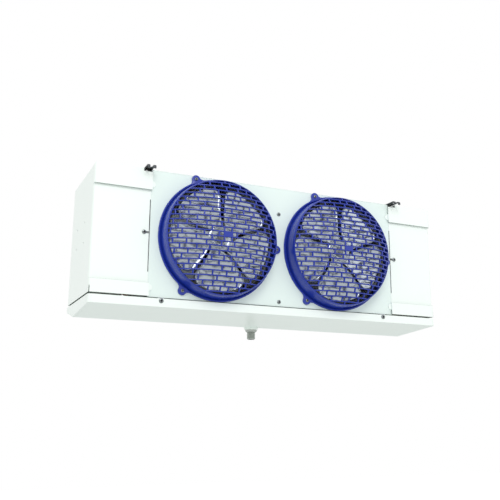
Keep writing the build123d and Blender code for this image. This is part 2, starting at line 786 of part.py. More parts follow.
pan = pan_block(0)
pan_inside = pan_block(sheet)
valley_z = pan_top - pan_front - pan_drop
seat_z = valley_z - sheet
seat = rod(23, (0, pan_valley, seat_z), (0, pan_valley, valley_z + 4)) - pan_inside
pan = pan - pan_inside + seat
pan -= rod(23 - sheet, (0, pan_valley, valley_z), (0, pan_valley, valley_z + 12))
pan -= rod(drain_radius, (0, pan_valley, seat_z - 1), (0, pan_valley, valley_z + 1))
pan_screw_z = pan_top - pan_screw_drop
for side in sides:
    screw_x = side * pan_screw_offset
    pan -= rod(pan_screw_radius, (screw_x, -1, pan_screw_z), (screw_x, 3, pan_screw_z))

# Hinge at the back: one fixed barrel between two barrels of the pan, twice.
hinge_y = 298.0
hinge_z = 0.0
barrel_pieces = []
fixed_barrels = []
pins = []
for side in sides:
    middle_x = side * hinge_offset
    half_knuckle = hinge_knuckle / 2
    first = middle_x - half_knuckle
    last = middle_x + half_knuckle
    fixed = rod(hinge_barrel, (first, hinge_y, hinge_z), (last, hinge_y, hinge_z))
    fixed += slab((first, last), (cabinet_depth, hinge_y), (hinge_z + 1, hinge_z + hinge_barrel))
    fixed -= rod(hinge_pin, (first - 1, hinge_y, hinge_z), (last + 1, hinge_y, hinge_z))
    fixed_barrels.append(fixed)
    for near, far in ((first - fit_gap, first - hinge_knuckle), (last + fit_gap, last + hinge_knuckle)):
        moving = rod(hinge_barrel, (near, hinge_y, hinge_z), (far, hinge_y, hinge_z))
        moving += slab((near, far), (hinge_y, pan_depth - sheet), (pan_top - 3, pan_top))
        moving -= rod(hinge_pin + running_gap, (near, hinge_y, hinge_z), (far, hinge_y, hinge_z))
        barrel_pieces.append(moving)
    pin_reach = half_knuckle + hinge_knuckle
    pin_start = (middle_x - pin_reach, hinge_y, hinge_z)
    pins.append(rod(hinge_pin, pin_start, (middle_x + pin_reach, hinge_y, hinge_z)))
pan += barrel_pieces

# The pan is joined from two end pieces, a front and a back rail, and two floor sheets that meet
# in the valley, with hairline seams. Each is a solid of its own, so that the trough between them
# stays open to collisions.
pan_seam = 0.2
end_inside = half_length - pan_corner_radius - 1
whole_height = (pan_top - 100, pan_top + 20)
pan_sheets = []
for side in sides:
    end_piece = slab((side * (end_inside + pan_seam), side * half_length), (0, pan_depth), whole_height)
    pan_sheets.append(pan & end_piece)
folds = (-pan_seam, pan_corner_radius + 1, pan_valley, pan_depth - 15, pan_depth)
for near, far in zip(folds, folds[1:]):
    pan_sheets.append(pan & slab((-end_inside, end_inside), (near + pan_seam, far), whole_height))
save(group(pan_sheets), "drain_pan")
save(group(pins), "hinge_pins")

rear_rail = slab((-plate_in, plate_in), (cabinet_depth - sheet, cabinet_depth), (0, return_flange))
rear_rail += slab((-plate_in, plate_in), (cabinet_depth - 12, cabinet_depth), (0, sheet))
rear_rail += fixed_barrels
save(rear_rail, "rear_rail")

pan_screws = []
pan_tabs = []
tab_half = 9.0
for side in sides:
    screw_x = side * pan_screw_offset
    pan_screws.append(screw(screw_x, 0, pan_screw_z, pan_screw_radius, 6.8, 10))
    tab = slab((screw_x - tab_half, screw_x + tab_half), (2, 2 + sheet), (pan_screw_z - 8, 0))
    tab += slab((screw_x - tab_half, screw_x + tab_half), (2, panel_front + return_flange), (-sheet, 0))
    slot_half = pan_screw_radius + fit_gap
    tab -= slab((screw_x - slot_half, screw_x + slot_half), (0, 5), (pan_screw_z - 10, pan_screw_z))
    tab -= rod(slot_half, (screw_x, 0, pan_screw_z), (screw_x, 5, pan_screw_z))
    pan_tabs.append(tab)
save(group(pan_screws), "pan_screws")
save(group(pan_tabs), "pan_tabs")

# ---------------------------------------------------------------- drain
nut_bottom = seat_z - drain_nut
collar_bottom = nut_bottom - 5
drain_end = seat_z - drain_length
stem_top = valley_z + 8
hexagon = Pos(0, pan_valley, nut_bottom) * RegularPolygon(drain_nut_across / 2, 6, major_radius=False)
drain_fitting = extrude(hexagon, amount=drain_nut)
drain_fitting += rod(17, (0, pan_valley, collar_bottom), (0, pan_valley, nut_bottom))
drain_fitting += rod(drain_radius, (0, pan_valley, drain_end), (0, pan_valley, stem_top))
drain_fitting -= rod(drain_bore, (0, pan_valley, drain_end - 1), (0, pan_valley, stem_top + 1))
save(drain_fitting, "drain_fitting")

nut_outline = Pos(0, pan_valley, valley_z) * RegularPolygon(19, 6, major_radius=True)
drain_locknut = extrude(nut_outline, amount=6)
drain_locknut -= rod(drain_radius, (0, pan_valley, valley_z - 1), (0, pan_valley, valley_z + 10))
save(drain_locknut, "drain_locknut")
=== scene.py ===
# %% [markdown]
# # A low-profile walk-in unit cooler
# This cooler hangs from the ceiling of a cold room. Two fans draw air through a coil at the back
# and blow it out at the front. The frame brings in the engineering solids, already in place and in
# metres. This lesson gives them finishes, swaps the plainest of them for finer pieces, and lights
# the whole. We start with the frame, because every later size and place is read from it.
# %% Load the frame
import json
import math
import bmesh
import bpy
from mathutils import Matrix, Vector


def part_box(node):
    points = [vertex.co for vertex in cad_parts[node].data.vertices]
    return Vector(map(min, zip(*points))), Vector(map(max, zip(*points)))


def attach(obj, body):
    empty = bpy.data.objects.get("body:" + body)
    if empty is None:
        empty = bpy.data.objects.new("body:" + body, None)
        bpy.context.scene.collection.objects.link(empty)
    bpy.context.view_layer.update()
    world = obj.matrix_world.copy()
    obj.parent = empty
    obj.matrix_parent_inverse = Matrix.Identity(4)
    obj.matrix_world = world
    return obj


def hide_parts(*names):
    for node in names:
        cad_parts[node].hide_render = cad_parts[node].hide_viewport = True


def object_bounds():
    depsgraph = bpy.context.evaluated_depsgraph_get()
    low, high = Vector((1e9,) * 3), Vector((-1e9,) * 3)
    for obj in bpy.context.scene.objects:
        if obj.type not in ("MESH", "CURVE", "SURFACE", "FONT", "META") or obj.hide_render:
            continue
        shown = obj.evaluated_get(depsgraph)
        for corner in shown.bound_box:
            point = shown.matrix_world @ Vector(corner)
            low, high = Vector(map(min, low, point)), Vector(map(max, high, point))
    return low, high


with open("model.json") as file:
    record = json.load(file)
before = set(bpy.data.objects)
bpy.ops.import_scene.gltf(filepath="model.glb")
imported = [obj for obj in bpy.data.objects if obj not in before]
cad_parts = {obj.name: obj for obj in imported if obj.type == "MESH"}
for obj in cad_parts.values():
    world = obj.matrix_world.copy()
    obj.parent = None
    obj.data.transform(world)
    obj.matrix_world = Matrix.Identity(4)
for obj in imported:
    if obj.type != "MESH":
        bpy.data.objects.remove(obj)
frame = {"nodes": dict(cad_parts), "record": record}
cad_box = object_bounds()
MM = 0.001
nodes = frame["nodes"]
record = frame["record"]
print("CAD box:", cad_box)

# %% [markdown]
# Every number that follows is tied to a few places in the frame: the axis of each fan, which the
# record states for its joint, and the front face of the fan panel.
# %% Places that the later pieces share
fan_axes = {}
for joint in record["behaviour"]["joints"]:
    if joint["type"] == "hinge" and joint.get("continuous"):
        fan_axes[joint["child"]] = Vector(joint["pos_m"])
panel_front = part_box("fan_panel")[0][1]
cover_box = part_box("end_cover_left")
print("fan axes:", fan_axes, "panel front:", round(panel_front, 4))

# %% [markdown]
# ## Colours and nodes
# Paint makers and designers quote colours as sRGB hex values, but a shader works in linear light.
# One function turns the first into the second. A second small function adds a node with its
# settings and its links, so a whole material reads as a short list.
# %% Colour and node helpers
def linear(hex_colour):
    """Turns an sRGB hex colour into linear RGBA."""
    channels = [int(hex_colour[i:i + 2], 16) / 255 for i in (1, 3, 5)]
    return tuple(c / 12.92 if c <= 0.04045 else ((c + 0.055) / 1.055) ** 2.4 for c in channels) + (1.0,)


def add(tree, kind, inputs=(), **settings):
    """Adds one node. An input is a value, or a (node, output) pair that gets linked."""
    node = tree.nodes.new(kind)
    for key, value in settings.items():
        setattr(node, key, value)
    for socket, value in dict(inputs).items():
        if isinstance(value, tuple) and len(value) == 2 and isinstance(value[0], bpy.types.Node):
            tree.links.new(value[0].outputs[value[1]], node.inputs[socket])
        else:
            node.inputs[socket].default_value = value
    return node


def new_material(name):
    """An empty node material with its output, and the object coordinates that all patterns use."""
    material = bpy.data.materials.new(name)
    material.use_nodes = True
    tree = material.node_tree
    tree.nodes.clear()
    output = add(tree, "ShaderNodeOutputMaterial")
    coordinates = add(tree, "ShaderNodeTexCoord")
    return material, tree, output, coordinates


def grain_scale(size_mm):
    """The noise scale whose blobs are about this many millimetres across, in a scene in metres."""
    return 1000 / size_mm


# %% [markdown]
# ## Powder-coated aluminium sheet
# The cabinet is aluminium sheet with a white polyester powder coat. The coat is sprayed as powder
# and melts in an oven, so it is glossy but never flat: it keeps a fine ripple, like orange peel,
# a few millimetres from crest to crest. The ripple is a bump, far too shallow to model. A slow
# drift of tone keeps the wide sheets from looking like plastic film.
# The covers have two folds across the front. A line of grey a few millimetres high follows each
# fold: painted shade, standing in for the shadow in the fold.
# %% Powder coat
# Heights, half-height and grey of the painted shade lines along the two folds.
FOLD_RISE = (38.2, 301.7)
FOLD_SHADE_HALF = 1.3
FOLD_SHADE_GREY = "#A5ADA9"
FRONT_DEPTH = 5.0


def fold_shade(tree, coordinates, paint):
    """Mixes painted shade, a grey line, into the paint along both folds, on the front of the cover only."""
    axes = add(tree, "ShaderNodeSeparateXYZ", {"Vector": (coordinates, "Object")})
    cover_low = cover_box[0]
    lines = []
    for rise in FOLD_RISE:
        height = cover_low[2] + rise * MM
        settings = {0: (axes, "Z"), 1: height, 2: FOLD_SHADE_HALF * MM}
        lines.append(add(tree, "ShaderNodeMath", settings, operation="COMPARE"))
    either = add(tree, "ShaderNodeMath", {0: (lines[0], "Value"), 1: (lines[1], "Value")},
                 operation="MAXIMUM")
    front = add(tree, "ShaderNodeMath", {0: (axes, "Y"), 1: cover_low[1] + FRONT_DEPTH * MM},
                operation="LESS_THAN")
    fold_shade_mask = add(tree, "ShaderNodeMath", {0: (either, "Value"), 1: (front, "Value")},
               operation="MULTIPLY")
    return add(tree, "ShaderNodeMix", {0: (fold_shade_mask, "Value"), 6: paint, 7: linear(FOLD_SHADE_GREY)},
               data_type="RGBA")


def powder_coat(name, tone, shade, roughness=0.3, folds=False):
    material, tree, output, coordinates = new_material(name)
    drift = add(tree, "ShaderNodeTexNoise",
                {"Vector": (coordinates, "Object"), "Scale": 3.0, "Detail": 2.0})
    colour = add(tree, "ShaderNodeMix", {0: (drift, "Fac"), 6: linear(shade), 7: linear(tone)},
                 data_type="RGBA")
    paint = (colour, 2)
    if folds:
        paint = (fold_shade(tree, coordinates, paint), 2)
    peel = add(tree, "ShaderNodeTexNoise",
               {"Vector": (coordinates, "Object"), "Scale": grain_scale(3.0), "Detail": 1.0})
    bump = add(tree, "ShaderNodeBump", {"Height": (peel, "Fac"), "Strength": 0.12, "Distance": 0.05 * MM})
    shader = add(tree, "ShaderNodeBsdfPrincipled", {
        "Base Color": paint, "Roughness": roughness, "IOR": 1.5, "Normal": (bump, "Normal"),
    })
    tree.links.new(shader.outputs["BSDF"], output.inputs["Surface"])
    return material


cover_coat = powder_coat("white_powder_coat", "#F4FBF7", "#F0F8F3")
# The covers' coat carries the painted shade lines along its folds.
coat_with_painted_fold_shade = powder_coat("white_powder_coat_with_painted_fold_shade", "#F4FBF7", "#F0F8F3", folds=True)
# The same white coat drawn darker and mintier: painted shade on the fan panel.
panel_coat_painted_shade = powder_coat("mint_white_powder_coat_painted_shade", "#E9F5F0", "#E3F0EB")
print("powder coats:", cover_coat.name, panel_coat_painted_shade.name)

# %% [markdown]
# ## Moulded plastics
# The guards are moulded polypropylene, dyed blue right through. Such a moulding has a soft gloss:
# the mould was polished, but the plastic shrinks a little as it cools, which leaves a faint, broad
# waviness. The ring round each fan and the drain's lock nut are moulded too, in plainer colours;
# the ring's dark olive grey is painted shade, for the shade that the guard casts on it.
# %% Moulded plastic
def moulded_plastic(name, tone, shade, roughness, ripple=0.08, shine=0.5):
    material, tree, output, coordinates = new_material(name)
    flow = add(tree, "ShaderNodeTexNoise",
               {"Vector": (coordinates, "Object"), "Scale": grain_scale(60), "Detail": 3.0})
    colour = add(tree, "ShaderNodeMix", {0: (flow, "Fac"), 6: linear(shade), 7: linear(tone)},
                 data_type="RGBA")
    waves = add(tree, "ShaderNodeTexNoise",
                {"Vector": (coordinates, "Object"), "Scale": grain_scale(6), "Detail": 1.0})
    bump = add(tree, "ShaderNodeBump", {"Height": (waves, "Fac"), "Strength": ripple, "Distance": 0.2 * MM})
    shader = add(tree, "ShaderNodeBsdfPrincipled", {
        "Base Color": (colour, 2), "Roughness": roughness, "IOR": 1.49, "Specular IOR Level": shine,
        "Normal": (bump, "Normal"),
    })
    tree.links.new(shader.outputs["BSDF"], output.inputs["Surface"])
    return material


guard_blue = moulded_plastic("blue_polypropylene", "#1D36A2", "#192E94", 0.26, shine=0.55)
# The ring's olive grey is painted shade: the guard shades it.
ring_grey_painted_shade = moulded_plastic("olive_grey_polypropylene_painted_shade", "#6A6E64", "#5E6258", 0.45)
nut_white = moulded_plastic("grey_white_nylon", "#C9CFCB", "#BEC5C1", 0.35)
terminal_black = moulded_plastic("black_phenolic", "#1C1D1E", "#161718", 0.4)
print("plastics:", guard_blue.name, ring_grey_painted_shade.name, nut_white.name, terminal_black.name)

# %% [markdown]
# ## Metals
# Sheet metal that was rolled, drawn or machined keeps a grain. A noise that is stretched along one
# direction gives it: it varies the roughness and a shallow bump, so the grain shows in highlights
# only. Zinc-coated steel has larger crystals as well, its spangle, which Voronoi cells draw.
# %% Metals
def worked_metal(name, tone, shade, roughness, grain_mm, stretch=(1.0, 1.0, 1.0), spangle_mm=0.0,
                 dent=0.05, detail=3.0):
    material, tree, output, coordinates = new_material(name)
    mapping = add(tree, "ShaderNodeMapping", {"Vector": (coordinates, "Object"), "Scale": stretch})
    grain = add(tree, "ShaderNodeTexNoise",
                {"Vector": (mapping, "Vector"), "Scale": grain_scale(grain_mm), "Detail": detail})
    factor = (grain, "Fac")
    if spangle_mm:
        cells = add(tree, "ShaderNodeTexVoronoi",
                    {"Vector": (coordinates, "Object"), "Scale": grain_scale(spangle_mm)})
        channels = add(tree, "ShaderNodeSeparateColor", {"Color": (cells, "Color")})
        factor = (channels, "Red")
    colour = add(tree, "ShaderNodeMix", {0: factor, 6: linear(shade), 7: linear(tone)},
                 data_type="RGBA")
    rough = add(tree, "ShaderNodeMapRange", {
        "Value": factor, "To Min": roughness - 0.06, "To Max": roughness + 0.06,
    })
    bump = add(tree, "ShaderNodeBump", {"Height": (grain, "Fac"), "Strength": 0.15, "Distance": dent * MM})
    shader = add(tree, "ShaderNodeBsdfPrincipled", {
        "Base Color": (colour, 2), "Roughness": (rough, "Result"), "Metallic": 1.0,
        "Normal": (bump, "Normal"),
    })
    tree.links.new(shader.outputs["BSDF"], output.inputs["Surface"])
    return material


# The blades are pressed thin, which leaves soft dents about 26 mm across that break reflections up.
# The blue tint in both blade tones is a painted reflection of the blue guards.
blade_metal_painted_reflection = worked_metal("pressed_blade_aluminium_painted_blue_reflection", "#BCC4CA", "#A2ABB2", 0.15, 26.0,
                           dent=7.0, detail=0.0)
fin_metal = worked_metal("rolled_fin_aluminium", "#D5D9DB", "#C3C8CA", 0.3, 1.0, (1.0, 1.0, 12.0))
zinc_metal = worked_metal("hot_dip_zinc_steel", "#B9BEC0", "#A4AAAD", 0.42, 2.0, spangle_mm=6.0)
copper_metal = worked_metal("drawn_copper_tube", "#C98862", "#B87650", 0.32, 1.0)
brass_metal = worked_metal("machined_brass", "#C9A85C", "#BA9A50", 0.3, 0.6)
screw_metal = worked_metal("zinc_plated_screw_steel", "#94999B", "#7F8587", 0.25, 0.4)
# The dark finish of the screw recesses: painted shade where the hole lies in shadow.
recess_shade_metal = worked_metal("painted_recess_shade_steel", "#3A3C3D", "#2E3031", 0.45, 0.4)
nipple_metal = worked_metal("nickel_plated_brass", "#C4C8C3", "#A9AEA8", 0.16, 0.4)
hanger_metal = worked_metal("dark_phosphated_steel", "#5A5D60", "#4C4F52", 0.38, 1.5)
print("metals:", blade_metal_painted_reflection.name, fin_metal.name, zinc_metal.name, copper_metal.name, brass_metal.name)

# %% [markdown]
# ## Motor enamel
# The motors are dipped in black air-drying enamel. It is thick enough to hide the castings' grain
# and leaves a half-gloss.
# %% Enamel
motor_enamel = powder_coat("black_motor_enamel", "#232426", "#1B1C1E", 0.4)
print("enamel:", motor_enamel.name)

# %% [markdown]
# ## Dress the frame
# Each material slot of the record takes the finish that the real piece has. The fan panel gets a
# darker, mintier copy of the covers' white coat: painted shade for the guards' shade on the panel.
# %% Assign finishes to the CAD nodes
slot_finish = {
    "cabinet_paint": cover_coat, "guard_plastic": guard_blue, "blade_aluminium": blade_metal_painted_reflection,
    "ring_plastic": ring_grey_painted_shade, "zinc_steel": zinc_metal, "hanger_steel": hanger_metal,
    "fin_aluminium": fin_metal, "copper": copper_metal, "brass": brass_metal,
    "motor_steel": motor_enamel, "screw_steel": screw_metal, "terminal_plastic": terminal_black,
    "drain_plastic": nut_white, "drain_metal": nipple_metal,
}
node_finish = {entry["node"]: slot_finish[entry["material_slot"]] for entry in record["subparts"]}
node_finish["fan_panel"] = panel_coat_painted_shade
node_finish["end_cover_left"] = node_finish["end_cover_right"] = coat_with_painted_fold_shade
for name, node in nodes.items():
    if not node.material_slots:
        node.data.materials.append(node_finish[name])
    for slot in node.material_slots:
        slot.material = node_finish[name]
print("dressed nodes:", len(nodes))

# %% [markdown]
# ## Tools for finer pieces
# Most fine pieces here are rings of points joined into a skin: a turned rim, a bent tube, a rib
# that follows a dome, a screw. So one function joins rings, and another finishes a piece: it
# smooths the shallow edges, keeps the sharp ones, and says which body the piece rides on and which
# solids it stands for.
# %% Skin and piece helpers
def skin(shape, rings, closed=False, finish=0):
    """Joins rings with the same number of points. Open ends get caps; a closed row joins its ends."""
    rows = [[shape.verts.new(Vector(point) * MM) for point in ring] for ring in rings]
    pairs = list(zip(rows, rows[1:])) + ([(rows[-1], rows[0])] if closed else [])
    faces = []
    for first, second in pairs:
        for index in range(len(first)):
            after = (index + 1) % len(first)
            faces.append(shape.faces.new((first[index], first[after], second[after], second[index])))
    if not closed:
        faces.append(shape.faces.new(rows[0]))
        faces.append(shape.faces.new(reversed(rows[-1])))
    for face in faces:
        face.material_index = finish


def piece(name, shape, finishes, body, stands_for, sharp_deg=35.0):
    """Turns a bmesh into an object that rides on a body and stands for one or more CAD nodes."""
    bmesh.ops.recalc_face_normals(shape, faces=shape.faces)
    mesh = bpy.data.meshes.new(name)
    shape.to_mesh(mesh)
    shape.free()
    for finish in finishes:
        mesh.materials.append(finish)
    mesh.shade_smooth()
    mesh.set_sharp_from_angle(angle=math.radians(sharp_deg))
    item = bpy.data.objects.new(name, mesh)
    bpy.context.collection.objects.link(item)
    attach(item, body)
    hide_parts(*stands_for)
    print(name, "faces:", len(mesh.polygons))
    return item


def circle(radius, steps, start=0.0):
    """Points of a circle as (cosine, sine) pairs times the radius."""
    angles = [start + math.tau * step / steps for step in range(steps)]
    return [(radius * math.cos(angle), radius * math.sin(angle)) for angle in angles]


# %% [markdown]
# ## The fan guards
# A guard keeps fingers out and lets the air through. This one is a single moulding: a rim with a
# raised bead, a steep wall, and a flat-topped dome of level ribs. Short uprights join the ribs like
# the joints of brickwork. A moulded rib has a rounded front, so its section is a small rounded
# shape that runs along the dome. The dome is one formula, so ribs and uprights share a surface.
# %% The dome and its sections
panel_mm = panel_front / MM
GUARD_CROWN, GUARD_WALL_HEIGHT, GUARD_WALL_TOP, DOME_POWER = 82.1, 47.0, 168.0, 3.5
RIB_PITCH, RIB_ROWS = 13.8, 12
rib_section = [(-0.7, 0.0), (0.7, 0.0), (1.5, 0.5), (1.8, 1.4),
               (1.7, 5.0), (-1.7, 5.0), (-1.8, 1.4), (-1.5, 0.5)]
web_section = [(-1.0, 0.0), (1.0, 0.0), (1.8, 0.5), (2.1, 1.3),
               (2.0, 4.4), (-2.0, 4.4), (-2.1, 1.3), (-1.8, 0.5)]
web_rows = (
    (27, 71, 131, 160), (11.5, 48, 93, 142), (20, 64, 119, 154), (0, 54, 91, 136), (26, 71, 114, 148),
    (10.5, 47.5, 82, 129), (25, 68, 109, 141), (15, 87, 120), (0, 41, 95), (26.5, 79), (0, 36, 65),
    (12, 47), (0,),
)


def dome_front(x, z):
    """Where the guard's skin stands, in millimetres along Y, at a place measured from the fan's axis."""
    fall = min(1.0, math.hypot(x, z) / GUARD_WALL_TOP) ** DOME_POWER
    return panel_mm - GUARD_CROWN + (GUARD_CROWN - GUARD_WALL_HEIGHT) * fall


print("crown of the guard stands", GUARD_CROWN, "mm ahead of the panel")

# %% [markdown]
# The ribs end inside the wall, and each upright reaches half a millimetre into its two ribs, as the
# mould would fill them. The middle of the guard is a plain plate where the plastic enters the mould.
# %% Ribs and uprights
def guard_ribs(shape, centre_x, centre_z):
    stations = 44
    for number in range(-RIB_ROWS, RIB_ROWS):
        z = (number + 0.5) * RIB_PITCH
        reach = math.sqrt((GUARD_WALL_TOP - 1) ** 2 - z * z)
        rings = []
        for step in range(stations + 1):
            x = -reach * math.cos(math.pi * step / stations)
            front = dome_front(x, z)
            rings.append([(centre_x + x, front + dy, centre_z + z + dz) for dz, dy in rib_section])
        skin(shape, rings)


def guard_webs(shape, centre_x, centre_z):
    half = RIB_PITCH / 2 - 1.3
    places = [(x * sign, row * up) for row, row_places in enumerate(web_rows) for x in row_places
              for sign in ((1, -1) if x else (1,)) for up in ((1, -1) if row else (1,))]
    for x, row in places:
        middle = row * RIB_PITCH
        heights = [middle - half, middle, middle + half]
        if abs(row) == RIB_ROWS:
            edge = math.copysign(math.sqrt((GUARD_WALL_TOP - 1) ** 2 - x * x), row)
            heights = sorted((middle - math.copysign(half, row), edge))
        rings = [[(centre_x + x + dx, dome_front(x, z) + 0.5 + dy, centre_z + z) for dx, dy in web_section]
                 for z in heights]
        skin(shape, rings)
    plate = [(-13.5, 0.3), (13.5, 0.3), (14.0, 0.8), (14.0, 4.6), (-14.0, 4.6), (-14.0, 0.8)]
    rings = [[(centre_x + dx, dome_front(0, z) + dy, centre_z + z) for dx, dy in plate]
             for z in (-half, half)]
    skin(shape, rings)


# %% [markdown]
# The rim is turned: a flat foot on the panel with a rounded bead at its edge, a groove, and then
# the wall, which curves over into the dome. Three ears carry the screws, and their sides run into
# the rim in a hollow curve.
# %% Rim and ears
rim_profile = [
    (181.0, 0.0), (181.0, -4.6), (180.4, -5.4), (179.4, -5.5), (176.8, -5.3), (175.9, -4.7),
    (175.3, -2.4), (174.2, -1.6), (173.2, -2.4), (172.9, -6.0), (172.6, -14.0), (172.0, -24.0),
    (171.2, -34.0), (170.2, -41.5), (169.2, -45.6), (167.8, -47.0), (166.4, -46.6), (165.7, -45.0),
    (167.6, -28.0), (169.4, -14.0), (170.4, 0.0),
]
ear_angles = (112.5, 236.0, 357.0)
EAR_CIRCLE, EAR_RADIUS, EAR_HEIGHT = 189.0, 12.4, 5.5
ear_flank = [(26.0, 175.5), (26.0, 178.6), (20.5, 180.6), (17.0, 182.4), (14.4, 184.8), (12.8, 187.6)]


def guard_rim(shape, centre_x, centre_z):
    rings = [[(centre_x + c, panel_mm + depth, centre_z + s) for c, s in circle(radius, 144)]
             for radius, depth in rim_profile]
    skin(shape, rings, closed=True)


def guard_ears(shape, centre_x, centre_z):
    tip_angles = [math.radians(turn) for turn in range(10, 180, 10)]
    tip = [(EAR_RADIUS * math.cos(turn), EAR_CIRCLE + EAR_RADIUS * math.sin(turn)) for turn in tip_angles]
    outline = ear_flank + tip + [(-t, r) for t, r in reversed(ear_flank)]
    for angle in ear_angles:
        turn = math.radians(angle)
        rings = []
        for shrink, depth in ((1.0, 0.0), (1.0, -4.8), (0.97, -5.3), (0.93, -EAR_HEIGHT)):
            ring = []
            for t, r in outline:
                t, r = t * shrink, 183 + (r - 183) * shrink
                x = r * math.cos(turn) + t * math.sin(turn)
                z = r * math.sin(turn) - t * math.cos(turn)
                ring.append((centre_x + x, panel_mm + depth, centre_z + z))
            rings.append(ring)
        skin(shape, rings)


for side in ("left", "right"):
    axis = fan_axes["fan_" + side] / MM
    guard_shape = bmesh.new()
    for part in (guard_ribs, guard_webs, guard_rim, guard_ears):
        part(guard_shape, axis.x, axis.z)
    piece("guard_" + side, guard_shape, [guard_blue], "cabinet", ["fan_guard_" + side])

# %% [markdown]
# ## The fans
# Each fan is pressed from one aluminium sheet: five wide blades part at narrow slits that swing
# round near the middle. The blades have rounded corners and a shallow hollow, so each one mirrors
# the room a little differently. A grid of points gives both skins of a blade, a sheet's thickness
# apart.
# %% Blade grid
FAN_TIP, DISC_RADIUS, BLADE_SHARE = 152.5, 38.0, 72.0
SLIT, SLIT_LEAN, SLIT_ANGLE, CORNER = 9.4, 16.0, 88.7, 30.0
LIP_WIDE, LIP_RISE = 7.0, 2.6
BLADE_SHEET, BLADE_TWIST, BLADE_HOLLOW = 1.6, 3.0, 5.0
FAN_AHEAD = 21.5
fan_plane = panel_mm - FAN_AHEAD
blade_radii = [30, 34, 38, 42, 46, 51, 57, 64, 72, 82, 93, 105, 116, 122, 128, 133, 138, 142, 145,
               148, 150.3, 151.7, 152.5]


def blade_place(radius, share, lift, turn):
    reach = max(0.0, (radius - DISC_RADIUS) / (FAN_TIP - DISC_RADIUS))
    half_width = radius * math.radians(BLADE_SHARE) / 2 - SLIT / 2
    over = radius - (FAN_TIP - CORNER)
    if over > 0:
        half_width -= CORNER - math.sqrt(max(0.0, CORNER ** 2 - over ** 2))
    lean = SLIT_LEAN * (1 - reach) ** 7
    angle = math.radians(SLIT_ANGLE - BLADE_SHARE / 2 - lean + turn) + share * half_width / radius
    swell = math.sin(math.pi / 2 * reach)
    lip = LIP_RISE * max(0.0, 1 - (1 - abs(share)) * half_width / LIP_WIDE) ** 2
    hollow = BLADE_HOLLOW * (1 - share * share)
    depth = fan_plane + swell * (hollow - share * BLADE_TWIST - lip) + lift
    return radius * math.cos(angle), depth, radius * math.sin(angle)


def fan_blades(shape, centre_x, centre_z):
    columns = [math.sin(math.pi / 2 * step / 11) for step in range(-11, 12)]
    for number in range(5):
        rings = []
        for radius in blade_radii:
            turn = number * BLADE_SHARE
            front = [blade_place(radius, share, -BLADE_SHEET / 2, turn) for share in columns]
            back = [blade_place(radius, share, BLADE_SHEET / 2, turn) for share in reversed(columns)]
            rings.append([(centre_x + x, y, centre_z + z) for x, y, z in front + back])
        skin(shape, rings)


# %% [markdown]
# The middle is a round disc with a pressed step, and a turned steel hub is riveted to it. The
# shaft's end stands out of the hub.
# %% Hub and assembly
def fan_hub(shape, centre_x, centre_z):
    disc = [(10, -0.9), (26, -0.9), (29, -2.4), (34, -2.4), (37.5, -0.8), (37.5, 0.8), (10, 0.8)]
    hub = [(4.0, -4.8), (12.6, -4.8), (14.0, -3.6), (14.0, 19.2), (4.0, 19.2)]
    shaft = [(0.6, -7.3), (3.4, -7.3), (4.0, -6.6), (4.0, 72.0), (0.6, 72.0)]
    for profile in (disc, hub, shaft):
        rings = [[(centre_x + c, fan_plane + depth, centre_z + s) for c, s in circle(radius, 40)]
                 for radius, depth in profile]
        skin(shape, rings, closed=True, finish=0 if profile is disc else 1)
    for step in range(5):
        c, s = circle(20.0, 5, 0.3)[step]
        rings = [[(centre_x + c + a, fan_plane + depth, centre_z + s + b) for a, b in circle(radius, 12)]
                 for radius, depth in ((2.6, -0.9), (2.4, -1.9), (1.4, -2.5), (0.3, -2.6))]
        skin(shape, rings, finish=1)


for side in ("left", "right"):
    axis = fan_axes["fan_" + side] / MM
    fan_shape = bmesh.new()
    fan_blades(fan_shape, axis.x, axis.z)
    fan_hub(fan_shape, axis.x, axis.z)
    fan_name = "fan_" + side
    finishes = [blade_metal_painted_reflection, screw_metal]
    piece("blades_" + side, fan_shape, finishes, fan_name, [fan_name])

# %% [markdown]
# ## Screws
# The sheet-metal screws are zinc-plated pan heads. Each is turned from rings: the shank, the flat
# underside and the rounded head. A dark plug with a cross-shaped outline stands for the recess; its
# dark colour is painted shade, for the shadow in the hole. Its radius swings in and out four times
# round the circle, and it ends flush with the head.
# %% One screw
SCREW_STEPS, SCREW_RISE, SHANK = 32, 2.6, 2.4


def screw(shape, x, y, z, head, shank, length):
    """A screw along +Y whose head's underside lies at y."""
    rise = SCREW_RISE
    profile = [(shank * 0.3, length), (shank, length - 1.2), (shank, 0.0), (head, 0.0),
               (head, -0.35 * rise), (head * 0.93, -0.66 * rise), (head * 0.8, -0.86 * rise),
               (head * 0.66, -rise)]
    rings = [[(x + c, y + depth, z + s) for c, s in circle(radius, SCREW_STEPS)]
             for radius, depth in profile]
    plug = []
    for scale, depth in ((0.66, -rise), (0.54, -0.2 * rise)):
        ring = []
        for c, s in circle(1.0, SCREW_STEPS):
            cross = 0.42 + 0.58 * abs(c * c - s * s) ** 3
            ring.append((x + head * scale * cross * c, y + depth, z + head * scale * cross * s))
        plug.append(ring)
    skin(shape, rings + plug[:1])
    # The plug's dark finish is painted shade.
    skin(shape, plug, finish=1)


# %% [markdown]
# The places of the screws come from the boxes of the nodes they stand for. Such a node holds two
# like screws, side by side or one above the other, so its box gives both ends of the row.
# %% Screws of the panel, the covers and the pan
def row_ends(low, high, head):
    """Both screws' places on one axis: apart along the row, and the same across it."""
    if high - low > 3 * head:
        return low + head, high - head
    return (low + high) / 2, (low + high) / 2


